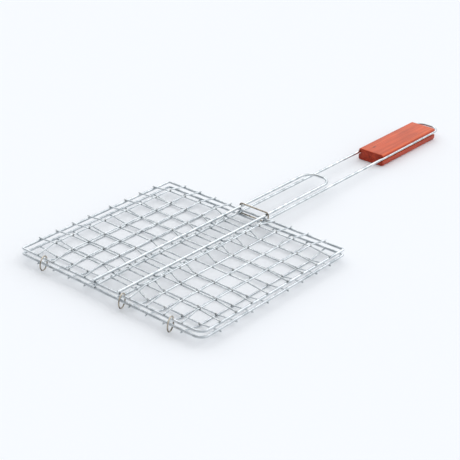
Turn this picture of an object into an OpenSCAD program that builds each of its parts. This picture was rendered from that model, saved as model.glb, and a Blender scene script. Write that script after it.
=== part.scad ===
// Hinged grill basket: two wire trays that close on each other, a short loop handle on the
// upper tray, a long handle with a wooden grip on the lower one, and a sliding clasp.
// +X runs from the hinge edge to the grip, +Y to one side, +Z up; the basket lies on z = 0.

/* [Trays] */
// Width of a tray between the centre lines of its side wires
frame_w = 260; // [215:1:340]
// Length of a tray from the hinge edge to the handle edge, centre to centre
frame_len = 232; // [185:1:300]
// Diameter of the wire that frames each tray
frame_d = 3; // [2.4:0.1:4]
// Radius of a frame's bent corner, at the -Y end of the hinge edge, on the centre line
corner_r = 10; // [6:0.5:16]
// Radius of a frame's three welded corners, on the centre line
weld_corner_r = 2.5; // [2:0.5:5]
// Diameter of the thin grid wires
grid_d = 1.7; // [1.2:0.1:2.4]
// Grid wires along the handle, on each side of the middle strip
long_per_side = 4; // [2:1:5]
// Grid wires across the basket, on each half of its length
cross_per_half = 4; // [2:1:5]
// Gap between the two innermost cross wires
cross_gap = 33.5; // [20:0.5:40]
// Space from a handle rod to the first grid wire beside it
strip_margin = 14.5; // [13:0.5:20]
// Space from the outermost grid wires to the frame around them
edge_margin = 26; // [18:0.5:32]
// Height by which the trays bulge away from their frames
tray_rise = 4.6; // [3.2:0.1:8]
// Length of grid wire that stands out past the frame's outer face
wire_stub = 0.5; // [0.3:0.1:3]
// Length of wire that stands out past the frame on the hinge edge
hinge_stub = 0.5; // [0.2:0.1:1.2]
// Depth that welded wires sink into each other
weld_set = 0.04; // [0.01:0.01:0.05]
// Gap between the closed upper frame and the lower rods it lies on
closing_gap = 0.3; // [0.2:0.05:1]

/* [Handles] */
// Diameter of the two handle wires
rod_d = 3.4; // [2.8:0.1:4.2]
// Open length of the long handle, from the handle edge to the grip
handle_len = 240; // [195:1:320]
// Length of the short upper loop, from the handle edge to its end
loop_reach = 131; // [90:1:165]
// Bend radius at the end of the short loop
loop_bend_r = 16; // [10:0.5:17]
// Bend radius at the far end of the long handle
end_bend_r = 14; // [8:0.5:16]
// Distance from the grip's end to the wire that closes the hanging loop
hang_gap = 14; // [10:0.5:24]

/* [Grip] */
// Length of the wooden grip
grip_len = 124; // [95:1:150]
// Width of the wooden grip
grip_w = 38; // [32:0.5:48]
// Wood above the centre of the handle wire
grip_cap = 4.85; // [3.8:0.05:8]
// Rounding of the grip's long edges
grip_edge_r = 2.5; // [1:0.1:3.2]
// Depth of the side grooves that hold the handle wire
groove_depth = 2.85; // [2.2:0.05:4]
// Gap around the wire in its groove
seat_gap = 0.15; // [0.1:0.05:0.3]
// Extra room in the groove below the wire
groove_drop = 1.3; // [0:0.1:2]

/* [Rings and clasp] */
// Wire diameter of the three hinge rings
ring_d = 1.5; // [1:0.1:2]
// Gap between the folded frames beyond their wire ends
fold_gap = 1.5; // [1:0.1:3]
// Room between a ring and the frame wires that run through it
ring_gap = 0.65; // [0.5:0.05:1]
// Wire diameter of the sliding clasp
clasp_d = 1.8; // [1.4:0.1:2.4]
// Room between the clasp and the rods it holds
clasp_gap = 0.35; // [0.3:0.05:0.8]
// Distance from the handle edge to the closed clasp
clasp_stand = 4; // [3.5:0.5:14]
// Bend radius of the clasp's corners
clasp_bend_r = 3; // [2:0.1:4]

/* [Hidden] */
$fn = 48;
// Turn of each ring out of the plane across the hinge edge
ring_turns = [20, 20, 20];
side_signs = [-1, 1];

rod_gap = grip_w - 2 * groove_depth + rod_d + 2 * seat_gap;
strip_half = rod_gap / 2 + strip_margin;
side_y = frame_w / 2;
frame_radii = [weld_corner_r, weld_corner_r, corner_r, weld_corner_r];
clasp_radii = [for (i = [0 : 3]) clasp_bend_r];

// Heights above a tray's own frame plane, outwards from the food
long_end_h = (frame_d + grid_d) / 2 - weld_set;
cross_end_h = long_end_h;
rod_h = (frame_d + rod_d) / 2 - weld_set;
under_rod_h = rod_h - (rod_d + grid_d) / 2 + weld_set;
long_h = tray_rise + grid_d - weld_set;

// Heights above the table: the lower tray's grid lies on it
lower_z = long_h + grid_d / 2;
lower_rod_z = lower_z + rod_h;
upper_z = lower_rod_z + (rod_d + frame_d) / 2 + closing_gap;
upper_rod_z = upper_z + rod_h;
hinge_z = (lower_z + upper_z) / 2;

// Hinge rings turn about the axis that the folded frames turn about
hinge_offset = frame_d / 2 + hinge_stub + fold_gap;
frame_reach = norm([hinge_offset, upper_z - hinge_z]) + frame_d / 2;
ring_mid_r = frame_reach + ring_gap + ring_d / 2;
ring_min_turn = min([for (a = ring_turns) abs(a)]);
hinge_reach = hinge_offset + ring_mid_r * cos(ring_min_turn) + ring_d / 2;

// Stations along the basket, measured from the hinge edge
grip_start = frame_len + handle_len;
grip_end = grip_start + grip_len;
handle_end = grip_end + hang_gap;
loop_end = frame_len + loop_reach;
clasp_x = frame_len + clasp_stand;
rod_start = -frame_d / 2 - hinge_stub;
base_x = (hinge_reach - handle_end - rod_d / 2) / 2;

// Bends of the grid wires
bend_r = 3;
land = 3;

// A bend is a little thicker than the straight wire and laps over it at both ends
bend_swell = 0.01;
bend_lap = 0.1;
long_pitch = (side_y - edge_margin - strip_half) / (long_per_side - 1);
cross_inner = frame_len / 2 - edge_margin;
cross_pitch = (cross_inner - cross_gap / 2) / (cross_per_half - 1);

// Places of the grid wires, hinge edge to handle edge and -Y to +Y
cross_x = [for (i = [0 : 2 * cross_per_half - 1])
    frame_len / 2 + (i < cross_per_half
        ? -cross_inner + i * cross_pitch
        : cross_gap / 2 + (i - cross_per_half) * cross_pitch)];
long_y = [for (i = [0 : 2 * long_per_side - 1])
    i < long_per_side
        ? -(side_y - edge_margin) + i * long_pitch
        : strip_half + (i - long_per_side) * long_pitch];

// Rings hang between the two outermost grid wires of each side, and beside one rod
outer_ring_y = side_y - edge_margin - long_pitch / 2;
ring_y = [-outer_ring_y, -(rod_gap + strip_margin) / 2, outer_ring_y];

steel = [0.8, 0.83, 0.86];
dark_steel = [0.6, 0.56, 0.5];
red_wood = [0.78, 0.34, 0.2];

cross_count = len(cross_x);
long_count = len(long_y);
function numbered(name, count) = [for (i = [1 : count]) str(name, i)];

// Direction of a line from a to b, in degrees
function heading(a, b) = atan2(b[1] - a[1], b[0] - a[0]);
// Change of heading at point i, between -180 and 180 degrees
function turn_at(p, i) =
    let (t = heading(p[i], p[i + 1]) - heading(p[i - 1], p[i]))
    t > 180 ? t - 360 : t < -180 ? t + 360 : t;
// Length that a bend of radius r takes off each straight beside it
function trim_at(p, i, r) = i <= 0 || i >= len(p) - 1 ? 0 : r * tan(abs(turn_at(p, i)) / 2);

// Round bar from the origin along +X
module bar(length, d) {
    rotate([0, 90, 0])
        cylinder(h = length, d = d);
}

// Wire bent in the XY plane through the points p, with round bends of centre-line radius r
module bent_wire(p, d, r) {
    for (i = [0 : len(p) - 2]) {
        trim = trim_at(p, i, r);
        translate([p[i][0], p[i][1], 0])
            rotate([0, 0, heading(p[i], p[i + 1])])
                translate([trim, 0, 0])
                    bar(norm(p[i + 1] - p[i]) - trim - trim_at(p, i + 1, r), d);
    }
    lap_turn = bend_lap / r * 180 / PI;
    for (i = [1 : len(p) - 2]) {
        turn = turn_at(p, i);
        translate([p[i][0], p[i][1], 0])
            rotate([0, 0, heading(p[i - 1], p[i])])
                mirror([0, turn < 0 ? 1 : 0, 0])
                    translate([-trim_at(p, i, r), r, 0])
                        rotate([0, 0, -90 - lap_turn])
                            rotate_extrude(angle = abs(turn) + 2 * lap_turn)
                                translate([r, 0])
                                    circle(d = d + 2 * bend_swell);
    }
}

// Closed rectangular wire loop, x by y on its centre line, centred on the origin. radii holds
// its corners' bend radii, from the +X +Y corner counterclockwise.
module wire_loop(x, y, d, radii) {
    for (i = [0 : 3]) {
        along = i % 2 == 0 ? x : y;
        across = i % 2 == 0 ? y : x;
        r = radii[i];
        rotate([0, 0, 90 * i])
            translate([along / 2 - r, across / 2 - r, 0]) {
                rotate_extrude(angle = 90)
                    translate([r, 0])
                        circle(d = d);
                translate([0, r, 0])
                    rotate([0, 0, 180])
                        bar(along - r - radii[(i + 1) % 4], d);
            }
    }
}

// Everything is laid out from the hinge edge, then centred on the whole basket's length
module place() {
    translate([base_x, 0, 0])
        children();
}

// side is 1 for the upper tray, which bulges up, and -1 for the lower one
module tray_plane(side) {
    place()
        translate([0, 0, side > 0 ? upper_z : lower_z])
            mirror([0, 0, side > 0 ? 0 : 1])
                children();
}

module tray_frame(side) {
    color(steel)
        tray_plane(side)
            translate([frame_len / 2, 0, 0])
                wire_loop(frame_len, frame_w, frame_d, frame_radii);
}

// A cross wire climbs from the frame to the tray, dips under the rods and climbs again
module cross_wire(side, i) {
    rod_foot = rod_gap / 2 + rod_d / 2 + grid_d;
    strip_top = strip_half - land;
    tray_end = side_y - edge_margin + land;
    frame_foot = side_y - land;
    tip = side_y + frame_d / 2 + wire_stub;
    half = [[rod_foot, side * under_rod_h], [strip_top, tray_rise], [tray_end, tray_rise],
        [frame_foot, cross_end_h], [tip, cross_end_h]];
    other_half = [for (k = [len(half) - 1 : -1 : 0]) [-half[k][0], half[k][1]]];
    color(steel)
        tray_plane(side)
            translate([cross_x[i], 0, 0])
                rotate([90, 0, 90])
                    bent_wire(concat(other_half, half), grid_d, bend_r);
}

// A long wire lies on the outer face of the frame and of the cross wires
module long_wire(side, i) {
    tray_start = edge_margin - land;
    path = [[rod_start, long_end_h], [land, long_end_h], [tray_start, long_h],
        [frame_len - tray_start, long_h], [frame_len - land, long_end_h],
        [frame_len + frame_d / 2 + wire_stub, long_end_h]];
    color(steel)
        tray_plane(side)
            translate([0, long_y[i], 0])
                rotate([90, 0, 0])
                    bent_wire(path, grid_d, bend_r);
}

// Both handles are one wire bent into a U, open at the hinge edge
module handle_u(end_x, z, r) {
    y = rod_gap / 2;
    color(steel)
        place()
            translate([0, 0, z])
                bent_wire([[rod_start, -y], [end_x, -y], [end_x, y], [rod_start, y]], rod_d, r);
}

module loop_handle_wire() {
    handle_u(loop_end, upper_rod_z, loop_bend_r);
}

module long_handle_wire() {
    handle_u(handle_end, lower_rod_z, end_bend_r);
}

module hinge_ring(i) {
    color(dark_steel)
        place()
            translate([-hinge_offset, ring_y[i], hinge_z])
                rotate([90, 0, ring_turns[i]])
                    rotate_extrude()
                        translate([ring_mid_r, 0])
                            circle(d = ring_d);
}

// The clasp is a closed wire loop around all four rods
module sliding_clasp() {
    inner_w = rod_gap + rod_d + 2 * clasp_gap;
    inner_h = upper_rod_z - lower_rod_z + rod_d + 2 * clasp_gap;
    color(dark_steel)
        place()
            translate([clasp_x, 0, (lower_rod_z + upper_rod_z) / 2])
                rotate([90, 0, 90])
                    wire_loop(inner_w + clasp_d, inner_h + clasp_d, clasp_d, clasp_radii);
}

// Outline of the grip seen along the handle, with its groove on both sides
module grip_outline() {
    height = lower_rod_z + grip_cap;
    slot_r = rod_d / 2 + seat_gap;
    difference() {
        union() {
            translate([-grip_w / 2, grip_edge_r])
                square([grip_w, height - 2 * grip_edge_r]);
            translate([-grip_w / 2 + grip_edge_r, 0])
                square([grip_w - 2 * grip_edge_r, height]);
            for (s = side_signs, v = [grip_edge_r, height - grip_edge_r])
                translate([s * (grip_w / 2 - grip_edge_r), v])
                    circle(r = grip_edge_r);
        }
        for (s = side_signs) {
            translate([s * rod_gap / 2, lower_rod_z])
                circle(r = slot_r);
            translate([s * rod_gap / 2, lower_rod_z - groove_drop])
                circle(r = slot_r);
            translate([s * rod_gap / 2, lower_rod_z])
                mirror([s < 0 ? 1 : 0, 0])
                    translate([0, -slot_r - groove_drop])
                        square([groove_depth * 2, 2 * slot_r + groove_drop]);
            translate([s * rod_gap / 2, lower_rod_z - groove_drop])
                mirror([s > 0 ? 1 : 0, 0])
                    square([slot_r, groove_drop]);
        }
    }
}

module wooden_grip() {
    color(red_wood)
        place()
            translate([grip_start, 0, 0])
                rotate([90, 0, 90])
                    linear_extrude(grip_len)
                        grip_outline();
}

tray_frame(1);  // upper_frame
tray_frame(-1);  // lower_frame
loop_handle_wire();
long_handle_wire();
for (i = [1 : cross_count]) {
    cross_wire(1, i - 1);
    cross_wire(-1, i - 1);
}
for (i = [1 : long_count]) {
    long_wire(1, i - 1);
    long_wire(-1, i - 1);
}
for (i = [1 : len(ring_y)])
    hinge_ring(i - 1);
sliding_clasp();
wooden_grip();
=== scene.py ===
import math

import bmesh
import bpy
import numpy as np
from mathutils import Matrix, Vector, noise


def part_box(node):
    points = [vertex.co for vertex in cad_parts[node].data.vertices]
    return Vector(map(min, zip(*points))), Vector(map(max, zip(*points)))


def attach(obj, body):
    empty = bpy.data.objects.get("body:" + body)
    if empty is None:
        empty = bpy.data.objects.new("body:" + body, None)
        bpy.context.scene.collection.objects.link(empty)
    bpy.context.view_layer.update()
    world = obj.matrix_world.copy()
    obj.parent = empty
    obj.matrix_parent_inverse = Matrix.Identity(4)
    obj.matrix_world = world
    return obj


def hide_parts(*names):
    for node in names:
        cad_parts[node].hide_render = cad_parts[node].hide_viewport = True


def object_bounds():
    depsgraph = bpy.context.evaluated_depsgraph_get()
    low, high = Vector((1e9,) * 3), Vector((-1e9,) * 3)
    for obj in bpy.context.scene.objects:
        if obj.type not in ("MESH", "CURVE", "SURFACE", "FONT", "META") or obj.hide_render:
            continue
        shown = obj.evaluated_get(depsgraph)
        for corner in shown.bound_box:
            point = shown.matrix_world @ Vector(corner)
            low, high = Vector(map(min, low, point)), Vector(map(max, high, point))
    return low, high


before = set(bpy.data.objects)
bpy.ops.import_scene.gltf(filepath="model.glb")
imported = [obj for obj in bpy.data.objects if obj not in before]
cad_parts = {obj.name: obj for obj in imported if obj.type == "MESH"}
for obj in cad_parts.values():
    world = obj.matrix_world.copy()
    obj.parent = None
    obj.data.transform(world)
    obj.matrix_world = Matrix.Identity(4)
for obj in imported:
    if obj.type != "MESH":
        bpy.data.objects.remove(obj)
cad_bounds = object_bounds()

# Lengths are in metres. The basket lies closed on z = 0, its hinge edge at -X, its grip at +X.
MM = 0.001


# ---------------------------------------------------------------- sizes from the CAD frame

def box_of(node):
    """Lowest corner, highest corner and middle of a CAD node."""
    low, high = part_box(node)
    return low, high, (low + high) / 2


def nodes_named(prefix):
    """The CAD nodes whose names start with prefix, in the order of their numbers."""
    return sorted((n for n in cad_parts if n.startswith(prefix)),
                  key=lambda n: int(n[len(prefix):]))


def length_in_x(node):
    low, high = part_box(node)
    return high.x - low.x


frame_low, frame_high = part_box("upper_frame")
rod_low, rod_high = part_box("loop_handle_wire")
grip_low, grip_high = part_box("wooden_grip")

FRAME_D = frame_high.z - frame_low.z
ROD_D = rod_high.z - rod_low.z
GRID_D = length_in_x("upper_cross_wire_1")
CLASP_D = length_in_x("sliding_clasp")
RING_D = 1.5 * MM
ROD_HALF_GAP = (rod_high.y - rod_low.y - ROD_D) / 2

# How the wires are bent and welded
FRAME_CORNER_R = 10 * MM
WELD_CORNER_R = 2.5 * MM
BEND_R = 3 * MM
LAND = 3 * MM
WELD_SET = 0.04 * MM
LOOP_BEND_R = 16 * MM
END_BEND_R = 14 * MM
CLASP_BEND_R = 3 * MM

# How far hand-straightened wire strays, and how often per metre it does
SWAY = 0.5 * MM
LIFT = 0.15 * MM
WAVES = 24
PINNED_REACH = 6 * MM
# These keep apart the noise of two wires, and a wire's sway and lift
SEED_STEP = 7.3
LIFT_SHIFT = Vector((31, 5, 2))

# Distances between the points drawn along a wire's straights, and sides of its round section
GRID_STEP = 1.6 * MM
BORDER_STEP = 2.5 * MM
CLASP_STEP = 1.2 * MM
THIN_SIDES = 12
BORDER_SIDES = 16
ROD_SIDES = 20

# Flats that the welding left, weld beads, and the dark weld tint (partly burn tint from the
# welding, partly painted contact shade), which is paler near the open ends of a wire
FLAT_DEPTH = 0.2 * MM
FLAT_REACH = 1.5 * MM
WELD_HEIGHT = 1.3 * GRID_D
END_FADE = 4 * MM
END_TINT = 0.4
BEAD_R = {"grid": 0.95 * MM, "cross_ends": 0.9 * MM, "long_ends": 0.9 * MM,
          "rod_cross": 1.15 * MM, "rod_frame": 1.6 * MM}

cross_x = [box_of(n)[2].x for n in nodes_named("upper_cross_wire_")]
long_y = [box_of(n)[2].y for n in nodes_named("upper_long_wire_")]
first_long_y = min(y for y in long_y if y > 0)
last_long_y = max(long_y)


# ---------------------------------------------------------------- wire paths

def rounded_path(corners, radius, step, closed=False):
    """Points no further than step apart along straights joined by bends.

    radius is one radius for all the bends, or a list with one for each corner."""
    count = len(corners)
    radii = radius if isinstance(radius, list) else [radius] * count
    pieces = []
    for i, corner in enumerate(corners):
        if not closed and i in (0, count - 1):
            pieces.append([corner.copy()])
            continue
        into = (corner - corners[i - 1]).normalized()
        out = (corners[(i + 1) % count] - corner).normalized()
        turn = into.angle(out)
        inward = (out - into * math.cos(turn)).normalized()
        r = radii[i]
        trim = r * math.tan(turn / 2)
        centre = corner - into * trim + inward * r
        steps = max(2, math.ceil(turn / math.radians(12)))
        pieces.append([
            centre + r * (into * math.sin(turn * k / steps) - inward * math.cos(turn * k / steps))
            for k in range(steps + 1)])
    if closed:
        pieces.append([pieces[0][0].copy()])
    path = list(pieces[0])
    for piece in pieces[1:]:
        start = path[-1]
        gap = (piece[0] - start).length
        for k in range(1, math.ceil(gap / step)):
            path.append(start.lerp(piece[0], k * step / gap))
        path.extend(piece)
    return path[:-1] if closed else path


def hand_bent(path, seed, pinned):
    """The path with the slow waves of wire that was straightened by hand.

    SWAY is sideways in the tray's plane. LIFT is up or down, and fades out at the pinned
    points, where the welds hold the wire's height."""
    bent = []
    for i, p in enumerate(path):
        ahead = path[min(i + 1, len(path) - 1)] - path[max(i - 1, 0)]
        side = Vector((-ahead.y, ahead.x, 0)).normalized()
        where = Vector((p.x * WAVES, p.y * WAVES, seed * SEED_STEP))
        nearest = min(math.hypot(p.x - q.x, p.y - q.y) for q in pinned)
        free = min(1.0, nearest / PINNED_REACH)
        move = side * SWAY * noise.noise(where)
        move.z += LIFT * free * noise.noise(where + LIFT_SHIFT)
        bent.append(p + move)
    return bent


# ---------------------------------------------------------------- meshes of wires

def wire(node, body, path, diameter, sides, welds, weld_reach=1.0 * MM, closed=False, pressed=0):
    """A round wire along path that stands for a CAD node and rides on its body.

    Each vertex gets a weld value, from 1 at a weld to 0 beyond 1.3 times weld_reach and
    lower near a wire's open ends, which the materials use for burn tint and painted contact
    shade. pressed is 1 or -1 if the welds left flats on its upper or lower side. No vertex
    leaves the CAD model's box."""
    curve = bpy.data.curves.new(node, "CURVE")
    curve.dimensions = "3D"
    curve.bevel_depth = diameter / 2
    curve.bevel_resolution = (sides - 4) // 2
    curve.use_fill_caps = True
    spline = curve.splines.new("POLY")
    spline.points.add(len(path) - 1)
    for point, p in zip(spline.points, path):
        point.co = (*p, 1)
    spline.use_cyclic_u = closed
    maker = bpy.data.objects.new(node, curve)
    mesh = bpy.data.meshes.new_from_object(maker)
    bpy.data.objects.remove(maker)
    mesh.name = "drawn_" + node

    count = len(mesh.vertices)
    place = np.zeros(count * 3)
    mesh.vertices.foreach_get("co", place)
    place = place.reshape(-1, 3)
    tint_and_shade = np.zeros(count)
    # Weld values mark the dark weld tint: partly burn tint, partly painted contact shade where
    # wires meet.
    for weld in welds:
        off = place - np.array(weld.xyz)
        across = np.hypot(off[:, 0], off[:, 1])
        near = np.abs(off[:, 2]) < WELD_HEIGHT
        tint_and_shade = np.maximum(tint_and_shade, near * np.clip(1.3 - across / weld_reach, 0, 1))
        if pressed:
            over = np.maximum(0, pressed * off[:, 2] - diameter + FLAT_DEPTH)
            place[:, 2] -= pressed * over * near * np.exp(-(across / FLAT_REACH) ** 2)
    if not closed:
        from_ends = [np.linalg.norm(place - np.array(path[k]), axis=1) for k in (0, -1)]
        tint_and_shade *= np.clip(np.minimum(*from_ends) / END_FADE, END_TINT, 1)
    place = np.clip(place, np.array(cad_bounds[0]), np.array(cad_bounds[1]))
    mesh.vertices.foreach_set("co", place.ravel())
    set_weld_values(mesh, tint_and_shade)
    mesh.set_sharp_from_angle(angle=math.radians(50))
    return add_piece("drawn_" + node, mesh, body, replaces=[node])


def set_weld_values(mesh, values):
    """Stores one value per vertex under the name that the platings read."""
    weld = mesh.attributes.new("weld", "FLOAT", "POINT")
    weld.data.foreach_set("value", values)


def add_piece(name, mesh, body, replaces=()):
    """Links a finished mesh, hides the CAD nodes it stands for and lets it ride on a body."""
    piece = bpy.data.objects.new(name, mesh)
    bpy.context.scene.collection.objects.link(piece)
    mesh.polygons.foreach_set("use_smooth", [True] * len(mesh.polygons))
    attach(piece, body)
    if replaces:
        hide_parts(*replaces)
    return piece


# ---------------------------------------------------------------- trays

def side_of(half):
    """1 for the upper tray, which bulges up, and -1 for the lower one."""
    return 1 if half == "upper" else -1


def tray_heights(half):
    """Heights of a tray's wire centres: its border, the ends of its grid wires, the raised
    cross wires and long wires, and the strip where the cross wires run under the rods."""
    side = side_of(half)
    border = box_of(half + "_frame")[2].z
    cross_low, cross_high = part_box(half + "_cross_wire_1")
    long_low, long_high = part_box(half + "_long_wire_1")
    r = GRID_D / 2
    return {
        "frame": border,
        "ends": border + side * ((FRAME_D + GRID_D) / 2 - WELD_SET),
        "cross": (cross_high.z - r) if side > 0 else (cross_low.z + r),
        "strip": (cross_low.z + r) if side > 0 else (cross_high.z - r),
        "long": (long_high.z - r) if side > 0 else (long_low.z + r),
    }


def cross_wire_path(half, node):
    """From the border to the raised grid, under the rods in the middle, and back."""
    h = tray_heights(half)
    _, high, mid = box_of(node)
    stations = [
        (ROD_HALF_GAP + ROD_D / 2 + GRID_D, h["strip"]),
        (first_long_y - LAND, h["cross"]),
        (last_long_y + LAND, h["cross"]),
        (frame_high.y - FRAME_D / 2 - LAND, h["ends"]),
        (high.y, h["ends"]),
    ]
    corners = [Vector((mid.x, -y, z)) for y, z in reversed(stations)]
    corners += [Vector((mid.x, y, z)) for y, z in stations]
    return rounded_path(corners, BEND_R, GRID_STEP)


def long_wire_path(half, node):
    """From the border at the hinge to the raised grid and down to the other border."""
    h = tray_heights(half)
    low, high, mid = box_of(node)
    front = frame_low.x + FRAME_D / 2
    back = frame_high.x - FRAME_D / 2
    corners = [Vector((x, mid.y, z)) for x, z in (
        (low.x, h["ends"]), (front + LAND, h["ends"]), (cross_x[0] - LAND, h["long"]),
        (cross_x[-1] + LAND, h["long"]), (back - LAND, h["ends"]), (high.x, h["ends"]))]
    return rounded_path(corners, BEND_R, GRID_STEP)


def frame_path(half):
    low, high, mid = box_of(half + "_frame")
    r = FRAME_D / 2
    corners = [Vector((x, y, mid.z)) for x, y in (
        (low.x + r, low.y + r), (high.x - r, low.y + r),
        (high.x - r, high.y - r), (low.x + r, high.y - r))]
    radii = [FRAME_CORNER_R, WELD_CORNER_R, WELD_CORNER_R, WELD_CORNER_R]
    return rounded_path(corners, radii, BORDER_STEP, closed=True)


def handle_path(node, bend):
    low, high, mid = box_of(node)
    y = ROD_HALF_GAP
    end = high.x - ROD_D / 2
    corners = [Vector((low.x, -y, mid.z)), Vector((end, -y, mid.z)),
               Vector((end, y, mid.z)), Vector((low.x, y, mid.z))]
    return rounded_path(corners, bend, BORDER_STEP)


def handle_of(half):
    """The CAD node of the bent wire that makes both rods of a tray."""
    return "loop_handle_wire" if half == "upper" else "long_handle_wire"


def weld_points(half):
    """Where the tray's wires touch: at crossings of the grid, the border and the rods."""
    h = tray_heights(half)
    on_grid = (h["cross"] + h["long"]) / 2
    on_frame = h["frame"] + side_of(half) * FRAME_D / 2
    under_rod = box_of(handle_of(half))[2].z - ROD_D / 2
    ends_x = (frame_low.x + FRAME_D / 2, frame_high.x - FRAME_D / 2)
    edge = frame_high.y - FRAME_D / 2
    rods_y = (-ROD_HALF_GAP, ROD_HALF_GAP)

    def crossings(all_x, all_y, z):
        return [Vector((x, y, z)) for x in all_x for y in all_y]

    return {
        "grid": crossings(cross_x, long_y, on_grid),
        "cross_ends": crossings(cross_x, (-edge, edge), on_frame),
        "long_ends": crossings(ends_x, long_y, on_frame),
        "rod_cross": crossings(cross_x, rods_y, under_rod),
        "rod_frame": crossings(ends_x, rods_y, under_rod),
    }


def weld_beads(half, welds):
    """The thin collars of metal squeezed out between welded wires, all in one piece."""
    bm = bmesh.new()
    tint_and_shade = []
    for kind, places in welds.items():
        for p in places:
            # A flattened ball, longest halfway between the directions of the two wires
            spread = BEAD_R[kind] * (1 + 0.18 * noise.noise(p * 900))
            made = bmesh.ops.create_uvsphere(bm, u_segments=10, v_segments=6, radius=1)
            turn = Matrix.Rotation(math.radians(45 + 20 * noise.noise(p * 500)), 4, "Z")
            scale = Matrix.Diagonal((spread * 1.25, spread, spread * 0.42, 1))
            to_weld = Matrix.Translation(p) @ turn @ scale
            bmesh.ops.transform(bm, verts=made["verts"], matrix=to_weld)
            # Beads take the full dark weld tint, partly painted contact shade, and a paler one at
            # open ends.
            tint_and_shade += [END_TINT if kind.endswith("_ends") else 1.0] * len(made["verts"])
    mesh = bpy.data.meshes.new(half + "_weld_beads")
    bm.to_mesh(mesh)
    bm.free()
    set_weld_values(mesh, tint_and_shade)
    return add_piece(half + "_weld_beads", mesh, half + "_half")


def make_tray(half):
    """One half of the basket: its grid wires, border, weld beads and rods."""
    side = side_of(half)
    body = half + "_half"
    welds = weld_points(half)
    grid_wires = []
    for i, node in enumerate(nodes_named(half + "_cross_wire_")):
        x = cross_x[i]
        own = [p for group in welds.values() for p in group
               if abs(p.x - x) < MM and group is not welds["rod_frame"]]
        path = hand_bent(cross_wire_path(half, node), seed=i + 3 * side, pinned=own)
        grid_wires.append(wire(node, body, path, GRID_D, THIN_SIDES, own, pressed=-side))
    for i, node in enumerate(nodes_named(half + "_long_wire_")):
        y = long_y[i]
        own = [p for group in (welds["grid"], welds["long_ends"]) for p in group
               if abs(p.y - y) < MM]
        path = hand_bent(long_wire_path(half, node), seed=20 + i + 3 * side, pinned=own)
        grid_wires.append(wire(node, body, path, GRID_D, THIN_SIDES, own, pressed=side))
    frame_welds = welds["cross_ends"] + welds["long_ends"] + welds["rod_frame"]
    border = wire(half + "_frame", body, frame_path(half), FRAME_D, BORDER_SIDES, frame_welds,
                  closed=True)
    beads = weld_beads(half, welds)
    handle = handle_of(half)
    bend = LOOP_BEND_R if half == "upper" else END_BEND_R
    rod = wire(handle, body, handle_path(handle, bend), ROD_D, ROD_SIDES,
               welds["rod_cross"] + welds["rod_frame"], weld_reach=1.1 * MM)
    return {"grid": grid_wires, "frame": border, "beads": beads, "rod": rod}


# ---------------------------------------------------------------- hinge rings and clasp

RING_STEPS = 72
RING_SEAM_STEP = 43
CLASP_SEAM_Y = 6 * MM


def make_ring(node, body):
    """A hinge ring: wire curled into a circle and butt welded where its ends meet. How far it
    is turned about Z follows from how wide its box is in X."""
    low, high, mid = box_of(node)
    radius = (high.z - low.z - RING_D) / 2
    lean = math.acos(min(1, ((high.x - low.x) - RING_D) / (2 * radius)))
    turn = Matrix.Rotation(lean, 3, "Z")
    path = []
    for k in range(RING_STEPS):
        a = 2 * math.pi * k / RING_STEPS
        path.append(mid + turn @ Vector((radius * math.cos(a), 0, radius * math.sin(a))))
    seam = path[RING_SEAM_STEP]
    return wire(node, body, path, RING_D, THIN_SIDES, [seam], weld_reach=1.2 * MM, closed=True)


def make_clasp():
    """The rectangular wire loop around all four rods, butt welded on its lower side."""
    low, high, mid = box_of("sliding_clasp")
    r = CLASP_D / 2
    corners = [Vector((mid.x, y, z)) for y, z in (
        (low.y + r, low.z + r), (high.y - r, low.z + r),
        (high.y - r, high.z - r), (low.y + r, high.z - r))]
    path = rounded_path(corners, CLASP_BEND_R, CLASP_STEP, closed=True)
    seam = Vector((mid.x, mid.y + CLASP_SEAM_Y, low.z + r))
    return wire("sliding_clasp", "clasp", path, CLASP_D, THIN_SIDES, [seam],
                weld_reach=1.5 * MM, closed=True)


# ---------------------------------------------------------------- wooden grip

GRIP_EDGE_R = 2.5 * MM
LIP_R = 0.5 * MM
SEAT_R = 1.1 * MM
RIM_R = 0.9 * MM
GROOVE_DEPTH = 2.85 * MM
SEAT_GAP = 0.15 * MM
GROOVE_DROP = 1.3 * MM
GRIP_SLICES = 40
SAME = 0.1 * MM
TOP_FACES, END_FACES, OTHER_FACES = range(3)


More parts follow.
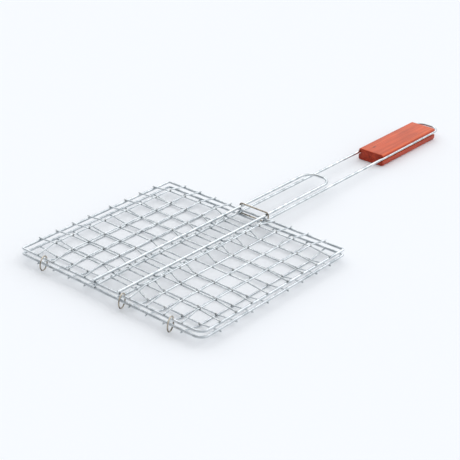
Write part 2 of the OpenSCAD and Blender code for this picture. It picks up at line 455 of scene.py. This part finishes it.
def make_grip():
    """The block: an outline with a groove on each side, drawn out and eased at every edge.

    Cuts across it keep its faces short."""
    rod_z = box_of("long_handle_wire")[2].z
    half_w = (grip_high.y - grip_low.y) / 2
    groove_top = rod_z + ROD_D / 2 + SEAT_GAP
    groove_foot = rod_z - ROD_D / 2 - SEAT_GAP - GROOVE_DROP
    groove_y = half_w - GROOVE_DEPTH
    right = [(half_w, grip_low.z), (half_w, groove_foot), (groove_y, groove_foot),
             (groove_y, groove_top), (half_w, groove_top), (half_w, grip_high.z)]
    outline = right + [(-y, z) for y, z in reversed(right)]
    bm = bmesh.new()
    verts = [bm.verts.new((grip_low.x, y, z)) for y, z in outline]
    face = bm.faces.new(verts)
    made = bmesh.ops.extrude_face_region(bm, geom=[face])
    moved = [v for v in made["geom"] if isinstance(v, bmesh.types.BMVert)]
    bmesh.ops.translate(bm, verts=moved, vec=(grip_high.x - grip_low.x, 0, 0))
    bmesh.ops.recalc_face_normals(bm, faces=bm.faces)

    def long_edges(test):
        return [e for e in bm.edges
                if abs(e.verts[0].co.x - e.verts[1].co.x) > 10 * MM and test(e.verts[0].co)]

    def ease(edges, radius, segments):
        bmesh.ops.bevel(bm, geom=edges, offset=radius, offset_type="OFFSET", segments=segments,
                        profile=0.5, affect="EDGES", material=-1)

    ease(long_edges(lambda p: abs(p.y) > half_w - SAME
                    and (p.z < grip_low.z + SAME or p.z > grip_high.z - SAME)), GRIP_EDGE_R, 6)
    ease(long_edges(lambda p: abs(p.y) > half_w - SAME
                    and groove_foot - SAME < p.z < groove_top + SAME), LIP_R, 3)
    ease(long_edges(lambda p: abs(abs(p.y) - groove_y) < SAME), SEAT_R, 4)
    bm.normal_update()
    ease([e for e in bm.edges if len(e.link_faces) == 2
          and any(abs(f.normal.x) > 0.9 for f in e.link_faces)], RIM_R, 3)
    bm.normal_update()
    # Faces that are neither on top nor at the ends get the darker side wood, which is painted
    # shade.
    for f in bm.faces:
        if abs(f.normal.x) > 0.8:
            f.material_index = END_FACES
        else:
            f.material_index = TOP_FACES if f.normal.z > 0.75 else OTHER_FACES
    length = grip_high.x - grip_low.x
    for k in range(1, GRIP_SLICES):
        at = Vector((grip_low.x + length * k / GRIP_SLICES, 0, 0))
        bmesh.ops.bisect_plane(bm, geom=bm.verts[:] + bm.edges[:] + bm.faces[:],
                               plane_co=at, plane_no=(1, 0, 0))
    mesh = bpy.data.meshes.new("carved_grip")
    bm.to_mesh(mesh)
    bm.free()
    mesh.set_sharp_from_angle(angle=math.radians(40))
    return add_piece("carved_grip", mesh, "lower_half", replaces=["wooden_grip"])


# ---------------------------------------------------------------- materials

# Patterns per metre: clouds and pits of the plating, patches of the wood, and the grain's
# streaks where the grain runs along X and where it is cut across
CLOUDS = 110.0
PITS = 900.0
PATCHES = (22.0, 60.0, 60.0)
ALONG_GRAIN = (8.0, 260.0, 260.0)
ACROSS_GRAIN = (260.0, 260.0, 260.0)

# Depth of the pits and pores, and the knot on the grip's upper face
RELIEF = 0.2 * MM
KNOT_SIZE = (4 * MM, 1.3 * MM, 4 * MM)
KNOT_PLACE = (grip_low.x + 16 * MM, 6 * MM, grip_high.z)


def linear(hex_colour):
    """An sRGB hex colour as linear red, green, blue and alpha."""
    parts = [int(hex_colour[i:i + 2], 16) / 255 for i in (1, 3, 5)]
    return (*[c / 12.92 if c <= 0.04045 else ((c + 0.055) / 1.055) ** 2.4 for c in parts], 1)


def add(tree, kind, links=None, **settings):
    """Adds one node, sets its properties and unlinked inputs, and links the named inputs.

    A setting named in_NAME goes to the input NAME, where _ stands for a space."""
    node = tree.nodes.new(kind)
    for key, value in settings.items():
        if key.startswith("in_"):
            name = key[3:].replace("_", " ")
            node.inputs[int(name) if name.isdigit() else name].default_value = value
        else:
            setattr(node, key, value)
    for name, output in (links or {}).items():
        tree.links.new(output, node.inputs[name])
    return node


def new_material(name):
    """An empty material with its output and its shader."""
    material = bpy.data.materials.new(name)
    material.use_nodes = True
    tree = material.node_tree
    tree.nodes.clear()
    shader = tree.nodes.new("ShaderNodeBsdfPrincipled")
    out = tree.nodes.new("ShaderNodeOutputMaterial")
    tree.links.new(shader.outputs["BSDF"], out.inputs["Surface"])
    return material, tree, shader


def ramp(tree, factor, stops):
    """A colour ramp node through (place, sRGB hex) stops."""
    node = add(tree, "ShaderNodeValToRGB", {"Fac": factor})
    elements = node.color_ramp.elements
    while len(elements) < len(stops):
        elements.new(0.5)
    for element, (place, colour) in zip(elements, stops):
        element.position = place
        element.color = linear(colour)
    return node


def plated_steel(name, light, dark, rough_low, rough_high):
    """Plated or bare steel wire: bright, slightly cloudy metal with a fine pitted skin, and grey
    around each spot weld: partly burn tint, where the plating burned and the metal went matt,
    and partly painted contact shade where the wires meet."""
    material, tree, shader = new_material(name)
    where = add(tree, "ShaderNodeTexCoord")
    cloud = add(tree, "ShaderNodeTexNoise", {"Vector": where.outputs["Object"]},
                in_Scale=CLOUDS, in_Detail=3.0, in_Roughness=0.6)
    fine = add(tree, "ShaderNodeTexNoise", {"Vector": where.outputs["Object"]},
               in_Scale=PITS, in_Detail=2.0)
    metal = ramp(tree, cloud.outputs["Fac"], [(0.32, dark), (0.62, light)])
    # Dark weld colours: partly burn tint, partly painted contact shade where the wires meet.
    weld = add(tree, "ShaderNodeAttribute", attribute_name="weld")
    burn_and_shade = ramp(tree, weld.outputs["Fac"],
                 [(0.0, "#A79D8C"), (0.45, "#6E6A66"), (1.0, "#4A4C50")])
    reach = add(tree, "ShaderNodeMapRange", {"Value": weld.outputs["Fac"]},
                in_From_Min=0.05, in_From_Max=0.75, in_To_Min=0.0, in_To_Max=0.92)
    blotchy = add(tree, "ShaderNodeMath",
                  {0: reach.outputs["Result"], 1: fine.outputs["Fac"]}, operation="MULTIPLY")
    strong = add(tree, "ShaderNodeMath", {0: blotchy.outputs["Value"]},
                 operation="MULTIPLY", in_1=1.9, use_clamp=True)
    colour = add(tree, "ShaderNodeMix", {"Factor": strong.outputs["Value"],
                                         "A": metal.outputs["Color"],
                                         "B": burn_and_shade.outputs["Color"]}, data_type="RGBA")
    tree.links.new(colour.outputs["Result"], shader.inputs["Base Color"])
    polish = add(tree, "ShaderNodeMapRange", {"Value": cloud.outputs["Fac"]},
                 in_From_Min=0.3, in_From_Max=0.7, in_To_Min=rough_low, in_To_Max=rough_high)
    matt = add(tree, "ShaderNodeMath", {0: strong.outputs["Value"],
                                        2: polish.outputs["Result"]},
               operation="MULTIPLY_ADD", in_1=0.3, use_clamp=True)
    tree.links.new(matt.outputs["Value"], shader.inputs["Roughness"])
    pitted = add(tree, "ShaderNodeBump", {"Height": fine.outputs["Fac"]},
                 in_Strength=0.12, in_Distance=RELIEF)
    tree.links.new(pitted.outputs["Normal"], shader.inputs["Normal"])
    shader.inputs["Metallic"].default_value = 1.0
    return material


def varnished_wood(name, colours, streaks_per_metre, coat, knot=None):
    """Red-brown stained hardwood under clear varnish: streaky grain, short dark pores and,
    if knot gives its place, one small dark knot. Streaks per metre are given for each axis."""
    material, tree, shader = new_material(name)
    where = add(tree, "ShaderNodeTexCoord")
    along = add(tree, "ShaderNodeMapping", {"Vector": where.outputs["Object"]},
                in_Scale=streaks_per_metre)
    streaks = add(tree, "ShaderNodeTexNoise", {"Vector": along.outputs["Vector"]},
                  in_Scale=1.0, in_Detail=5.0, in_Roughness=0.62, in_Distortion=0.6)
    grain = ramp(tree, streaks.outputs["Fac"], colours)
    broad = add(tree, "ShaderNodeMapping", {"Vector": where.outputs["Object"]},
                in_Scale=PATCHES)
    patches = add(tree, "ShaderNodeTexNoise", {"Vector": broad.outputs["Vector"]},
                  in_Scale=1.0, in_Detail=2.0)
    tone = add(tree, "ShaderNodeMapRange", {"Value": patches.outputs["Fac"]},
               in_From_Min=0.3, in_From_Max=0.7, in_To_Min=0.84, in_To_Max=1.12)
    # Pores are up to about 0.3 mm wide, and 8 mm long where the grain runs along the face
    pore_map = add(tree, "ShaderNodeMapping", {"Vector": where.outputs["Object"]},
                   in_Scale=[min(1500.0, 5.8 * v) for v in streaks_per_metre])
    pores = add(tree, "ShaderNodeTexVoronoi", {"Vector": pore_map.outputs["Vector"]},
                in_Scale=1.0)
    dark = add(tree, "ShaderNodeMapRange", {"Value": pores.outputs["Distance"]},
               in_From_Min=0.08, in_From_Max=0.3, in_To_Min=0.7, in_To_Max=1.0)
    level = add(tree, "ShaderNodeMath", {0: tone.outputs["Result"], 1: dark.outputs["Result"]},
                operation="MULTIPLY")
    if knot:
        centred = add(tree, "ShaderNodeMapping", {"Vector": where.outputs["Object"]},
                      vector_type="TEXTURE", in_Location=knot,
                      in_Scale=KNOT_SIZE)
        away = add(tree, "ShaderNodeVectorMath", {0: centred.outputs["Vector"]},
                   operation="LENGTH")
        spot = add(tree, "ShaderNodeMapRange", {"Value": away.outputs["Value"]},
                   in_From_Min=0.4, in_From_Max=1.1, in_To_Min=0.3, in_To_Max=1.0)
        level = add(tree, "ShaderNodeMath",
                    {0: level.outputs["Value"], 1: spot.outputs["Result"]},
                    operation="MULTIPLY")
    shaded = add(tree, "ShaderNodeVectorMath",
                 {0: grain.outputs["Color"], "Scale": level.outputs["Value"]},
                 operation="SCALE")
    tree.links.new(shaded.outputs["Vector"], shader.inputs["Base Color"])
    rough = add(tree, "ShaderNodeMapRange", {"Value": streaks.outputs["Fac"]},
                in_To_Min=0.45, in_To_Max=0.3)
    tree.links.new(rough.outputs["Result"], shader.inputs["Roughness"])
    relief = add(tree, "ShaderNodeBump", {"Height": dark.outputs["Result"]},
                 in_Strength=0.25, in_Distance=RELIEF)
    tree.links.new(relief.outputs["Normal"], shader.inputs["Normal"])
    shader.inputs["Coat Weight"].default_value = coat
    shader.inputs["Coat Roughness"].default_value = 0.12
    shader.inputs["Specular IOR Level"].default_value = 0.15
    return material


def studio_paper():
    """Matt studio paper: nearly white, with a breath of blue."""
    material, tree, shader = new_material("white_studio_paper")
    shader.inputs["Base Color"].default_value = linear("#F1F3F6")
    shader.inputs["Roughness"].default_value = 1.0
    shader.inputs["Specular IOR Level"].default_value = 0.0
    return material


def finish_with(piece, *materials):
    """Gives a mesh its materials, in the order of its faces' material numbers."""
    for material in materials:
        piece.data.materials.append(material)


# ---------------------------------------------------------------- build

upper = make_tray("upper")
lower = make_tray("lower")
rings = [make_ring(f"hinge_ring_{i}", f"ring_{i}") for i in (1, 2, 3)]
clasp = make_clasp()
grip = make_grip()

grid_plating = plated_steel("zinc_plated_grid_wire", "#DCE0E2", "#B2B9BD", 0.16, 0.3)
frame_plating = plated_steel("zinc_plated_border_wire", "#D7DBDE", "#ABB2B6", 0.14, 0.26)
rod_plating = plated_steel("bright_plated_rod", "#DBDFE1", "#B0B7BA", 0.1, 0.2)
bare_wire = plated_steel("bare_drawn_steel_wire", "#C4BAAB", "#81776B", 0.2, 0.36)
top_grain = varnished_wood("varnished_hardwood_long_grain", [
    (0.25, "#B84018"), (0.45, "#CE501E"), (0.6, "#D95B26"), (0.8, "#EA7035")],
    ALONG_GRAIN, 0.2, knot=KNOT_PLACE)
# Painted shade: the top's wood in deeper reds, for the sides, underside and grooves, which lie in
# shade.
side_grain_painted_shade = varnished_wood("varnished_hardwood_side_painted_shade", [
    (0.25, "#9C3219"), (0.45, "#B23C20"), (0.6, "#C24827"), (0.8, "#D05834")],
    ALONG_GRAIN, 0.3)
# Darker than the top partly because end grain takes up more stain, and partly as painted shade on
# the end faces.
painted_shade_end_grain = varnished_wood("varnished_hardwood_painted_shade_end_grain", [
    (0.25, "#7A2415"), (0.5, "#AC3820"), (0.75, "#CC4E2E")], ACROSS_GRAIN, 0.05)

for half in (upper, lower):
    for piece in half["grid"] + [half["beads"]]:
        finish_with(piece, grid_plating)
    finish_with(half["frame"], frame_plating)
    finish_with(half["rod"], rod_plating)
for piece in rings + [clasp]:
    finish_with(piece, bare_wire)
finish_with(grip, top_grain, painted_shade_end_grain, side_grain_painted_shade)


# ---------------------------------------------------------------- stage

FLOOR_HALF = 30
FLOOR_GAP = 0.3 * MM

# The sky's colours from below to overhead, its level, and the share of it left in the
# direction of the open side
SKY = [(0.0, "#C4CAD0"), (0.3, "#E2E6EA"), (0.6, "#FAFCFF"), (1.0, "#FFFFFF")]
SKY_LEVEL = 1.2
OPEN_SIDE = (-0.98, 0.17, 0.0)
OPEN_SIDE_SHARE = 0.35
LAMP_STRENGTH = 0.2

# Where the camera stands, its yaw, downward pitch and roll in degrees, and its lens and
# sensor width in millimetres
CAMERA_PLACE = (-1.0409, -0.786, 0.6304)
CAMERA_ANGLES = (40.073, 27.032, 1.035)
CAMERA_LENS = 94.86
CAMERA_SENSOR = 36


def make_floor():
    bm = bmesh.new()
    bmesh.ops.create_grid(bm, x_segments=1, y_segments=1, size=FLOOR_HALF)
    mesh = bpy.data.meshes.new("floor")
    bm.to_mesh(mesh)
    bm.free()
    floor = bpy.data.objects.new("floor", mesh)
    bpy.context.scene.collection.objects.link(floor)
    floor.location.z = -FLOOR_GAP
    finish_with(floor, studio_paper())


def add_sun(name, width, azimuth, elevation):
    """A wide distant lamp, like a large soft box. Its width and the direction it shines from
    are in degrees."""
    lamp = bpy.data.lights.new(name, "SUN")
    lamp.energy = LAMP_STRENGTH
    lamp.angle = math.radians(width)
    holder = bpy.data.objects.new(name, lamp)
    bpy.context.scene.collection.objects.link(holder)
    a, e = math.radians(azimuth), math.radians(elevation)
    towards = Vector((math.cos(e) * math.cos(a), math.cos(e) * math.sin(a), math.sin(e)))
    holder.rotation_euler = towards.to_track_quat("Z", "Y").to_euler()


def make_world():
    """A soft studio: white overhead, greyer walls, and a dimmer room on the open side."""
    world = bpy.data.worlds.new("studio")
    bpy.context.scene.world = world
    world.use_nodes = True
    tree = world.node_tree
    tree.nodes.clear()
    where = add(tree, "ShaderNodeTexCoord")
    up = add(tree, "ShaderNodeSeparateXYZ", {"Vector": where.outputs["Generated"]})
    sky = ramp(tree, up.outputs["Z"], SKY)
    facing_open = add(tree, "ShaderNodeVectorMath", {0: where.outputs["Generated"]},
                      operation="DOT_PRODUCT", in_1=OPEN_SIDE)
    dim = add(tree, "ShaderNodeMapRange", {"Value": facing_open.outputs["Value"]},
              in_From_Min=0.1, in_From_Max=0.8,
              in_To_Min=SKY_LEVEL, in_To_Max=SKY_LEVEL * OPEN_SIDE_SHARE)
    light = add(tree, "ShaderNodeBackground",
                {"Color": sky.outputs["Color"], "Strength": dim.outputs["Result"]})
    out = add(tree, "ShaderNodeOutputWorld")
    tree.links.new(light.outputs["Background"], out.inputs["Surface"])


def make_camera():
    """Looks from the hinge side over the near corner, along the handle."""
    data = bpy.data.cameras.new("camera")
    data.lens = CAMERA_LENS
    data.sensor_width = CAMERA_SENSOR
    camera = bpy.data.objects.new("camera", data)
    bpy.context.scene.collection.objects.link(camera)
    camera.location = CAMERA_PLACE
    yaw, pitch, roll = (math.radians(a) for a in CAMERA_ANGLES)
    ahead = Vector((math.cos(pitch) * math.cos(yaw), math.cos(pitch) * math.sin(yaw),
                    -math.sin(pitch)))
    facing = ahead.to_track_quat("-Z", "Y").to_matrix() @ Matrix.Rotation(roll, 3, "Z")
    camera.rotation_euler = facing.to_euler()
    bpy.context.scene.camera = camera


make_floor()
make_world()
add_sun("back_light", width=45, azimuth=65, elevation=38)
add_sun("edge_light", width=30, azimuth=-20, elevation=36)
add_sun("cross_light", width=45, azimuth=20, elevation=38)
make_camera()
bpy.context.scene.view_settings.view_transform = "Standard"
